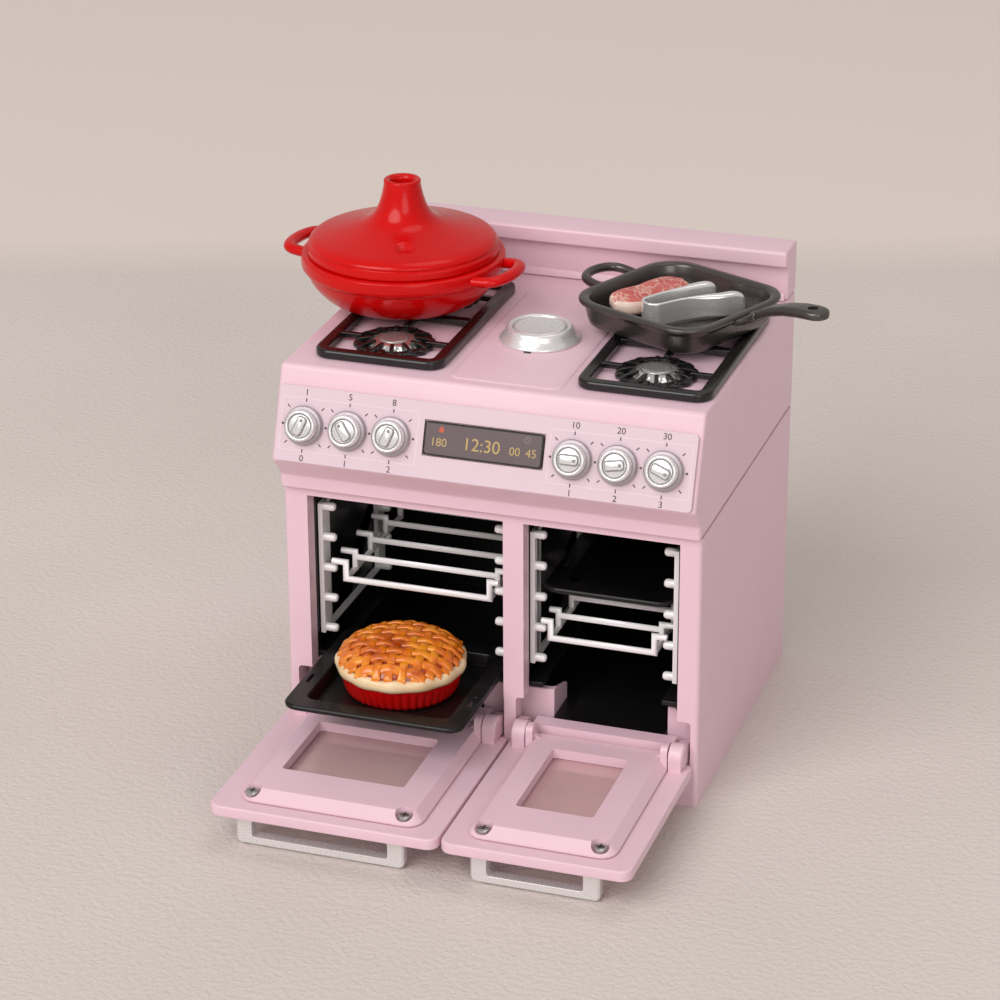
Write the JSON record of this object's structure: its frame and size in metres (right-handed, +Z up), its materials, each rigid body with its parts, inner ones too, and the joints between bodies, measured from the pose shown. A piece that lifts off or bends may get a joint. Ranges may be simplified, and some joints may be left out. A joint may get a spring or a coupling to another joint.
{
  "type": "toy oven",
  "caption": "Toy kitchen range with drop-down oven doors, pegged racks and trays, turning knobs, gas hob with hotplate, lidded chimney pot, grill pan, tongs, steak and pie.",
  "frame": {"origin": "middle of the base, on the surface the cooker stands on", "axes": "+Z up, the front with the doors and knobs towards -Y, +X to the right seen from the front"},
  "size_m": [0.1497, 0.1477, 0.1426],
  "materials": {
    "pink_plastic": "satin moulded",
    "plate_pink": "satin, printed with ticks and plain numbers",
    "black_plastic": "satin moulded",
    "silver_plastic": "metallic coating",
    "screw_steel": "zinc plated",
    "clear_pane": "clear plastic window",
    "display": "printed digits under gloss",
    "red_enamel": "high gloss",
    "iron_look": "dark metallic coating",
    "meat": "painted marbling",
    "crust": "glazed paint"
  },
  "bodies": {
    "cooker": {"cabinet_shell": "pink_plastic", "base_plate": "black_plastic", "back_panel": "pink_plastic", "top_housing": "pink_plastic", "backsplash": "pink_plastic", "control_plate": "plate_pink", "display_window": "display", "left_oven_liner": "black_plastic", "right_oven_liner": "black_plastic", "left_oven_ladder_left": "silver_plastic", "left_oven_ladder_right": "silver_plastic", "right_oven_ladder_left": "silver_plastic", "right_oven_ladder_right": "silver_plastic", "hinge_bracket_left": "pink_plastic", "hinge_bracket_centre": "pink_plastic", "hinge_bracket_right": "pink_plastic", "left_door_pin_left": "screw_steel", "left_door_pin_right": "screw_steel", "right_door_pin_left": "screw_steel", "right_door_pin_right": "screw_steel", "hotplate_ring": "silver_plastic", "hotplate_disc": "silver_plastic", "left_grate": "black_plastic", "right_grate": "black_plastic", "left_burner_front": "silver_plastic", "left_burner_rear": "silver_plastic", "right_burner_front": "silver_plastic", "right_burner_rear": "silver_plastic"},
    "left_door": {"left_door_slab": "pink_plastic", "left_inner_frame": "pink_plastic", "left_door_pane": "clear_pane", "left_door_handle": "silver_plastic", "left_door_screw_left": "screw_steel", "left_door_screw_right": "screw_steel"},
    "right_door": {"right_door_slab": "pink_plastic", "right_inner_frame": "pink_plastic", "right_door_pane": "clear_pane", "right_door_handle": "silver_plastic", "right_door_screw_left": "screw_steel", "right_door_screw_right": "screw_steel"},
    "left_tray_body": {"left_tray": "black_plastic"},
    "right_tray_body": {"right_tray": "black_plastic"},
    "left_rack_body": {"left_rack": "silver_plastic"},
    "right_rack_body": {"right_rack": "silver_plastic"},
    "pie_body": {"pie_dish": "red_enamel", "pie": "crust"},
    "pot": {"pot_bowl": "red_enamel"},
    "lid": {"pot_lid": "red_enamel"},
    "pan": {"grill_pan": "iron_look"},
    "steak_body": {"steak": "meat"},
    "tongs_body": {"tongs": "silver_plastic"},
    "knob_1_body": {"knob_1": "silver_plastic"},
    "knob_2_body": {"knob_2": "silver_plastic"},
    "knob_3_body": {"knob_3": "silver_plastic"},
    "knob_4_body": {"knob_4": "silver_plastic"},
    "knob_5_body": {"knob_5": "silver_plastic"},
    "knob_6_body": {"knob_6": "silver_plastic"}
  },
  "joints": [
    {"name": "left_door_hinge", "type": "hinge", "parent": "cooker", "child": "left_door", "pos_m": [-0.0245, -0.0433, 0.0148], "axis": [-1, 0, 0], "range_deg": [0, 90]},
    {"name": "right_door_hinge", "type": "hinge", "parent": "cooker", "child": "right_door", "pos_m": [0.03, -0.0433, 0.0148], "axis": [-1, 0, 0], "range_deg": [0, 90]},
    {"name": "left_tray_slide", "type": "slide", "parent": "cooker", "child": "left_tray_body", "axis": [0, 1, 0], "range_m": [0, 0.0503]},
    {"name": "pie_slide", "type": "slide", "parent": "left_tray_body", "child": "pie_body", "axis": [0, 0.7071, -0.7071], "range_m": [-0.06, 0]},
    {"name": "right_tray_slide", "type": "slide", "parent": "cooker", "child": "right_tray_body", "axis": [0, 1, 0], "range_m": [-0.045, 0]},
    {"name": "left_rack_slide", "type": "slide", "parent": "cooker", "child": "left_rack_body", "axis": [0, 1, 0], "range_m": [-0.045, 0]},
    {"name": "right_rack_slide", "type": "slide", "parent": "cooker", "child": "right_rack_body", "axis": [0, 1, 0], "range_m": [-0.045, 0]},
    {"name": "pot_lift", "type": "slide", "parent": "cooker", "child": "pot", "axis": [0, 0, 1], "range_m": [0, 0.02]},
    {"name": "lid_lift", "type": "slide", "parent": "pot", "child": "lid", "axis": [0, 0, 1], "range_m": [0, 0.015]},
    {"name": "pan_lift", "type": "slide", "parent": "cooker", "child": "pan", "axis": [0, 0, 1], "range_m": [0, 0.02]},
    {"name": "steak_lift", "type": "slide", "parent": "pan", "child": "steak_body", "axis": [0, 0, 1], "range_m": [0, 0.012]},
    {"name": "tongs_lift", "type": "slide", "parent": "pan", "child": "tongs_body", "axis": [0, 0, 1], "range_m": [0, 0.012]},
    {"name": "knob_1_turn", "type": "hinge", "parent": "cooker", "child": "knob_1_body", "pos_m": [-0.04675, -0.04938, 0.09334], "axis": [0, -0.9421, 0.3355], "continuous": true},
    {"name": "knob_2_turn", "type": "hinge", "parent": "cooker", "child": "knob_2_body", "pos_m": [-0.0352, -0.04938, 0.09334], "axis": [0, -0.9421, 0.3355], "continuous": true},
    {"name": "knob_3_turn", "type": "hinge", "parent": "cooker", "child": "knob_3_body", "pos_m": [-0.02365, -0.04938, 0.09334], "axis": [0, -0.9421, 0.3355], "continuous": true},
    {"name": "knob_4_turn", "type": "hinge", "parent": "cooker", "child": "knob_4_body", "pos_m": [0.0232, -0.04938, 0.09334], "axis": [0, -0.9421, 0.3355], "continuous": true},
    {"name": "knob_5_turn", "type": "hinge", "parent": "cooker", "child": "knob_5_body", "pos_m": [0.03475, -0.04938, 0.09334], "axis": [0, -0.9421, 0.3355], "continuous": true},
    {"name": "knob_6_turn", "type": "hinge", "parent": "cooker", "child": "knob_6_body", "pos_m": [0.0463, -0.04938, 0.09334], "axis": [0, -0.9421, 0.3355], "continuous": true}
  ],
  "couplings": [
    {"joint": "left_tray_slide", "follows": "left_door_hinge", "m_per_rad": 0.032}
  ]
}
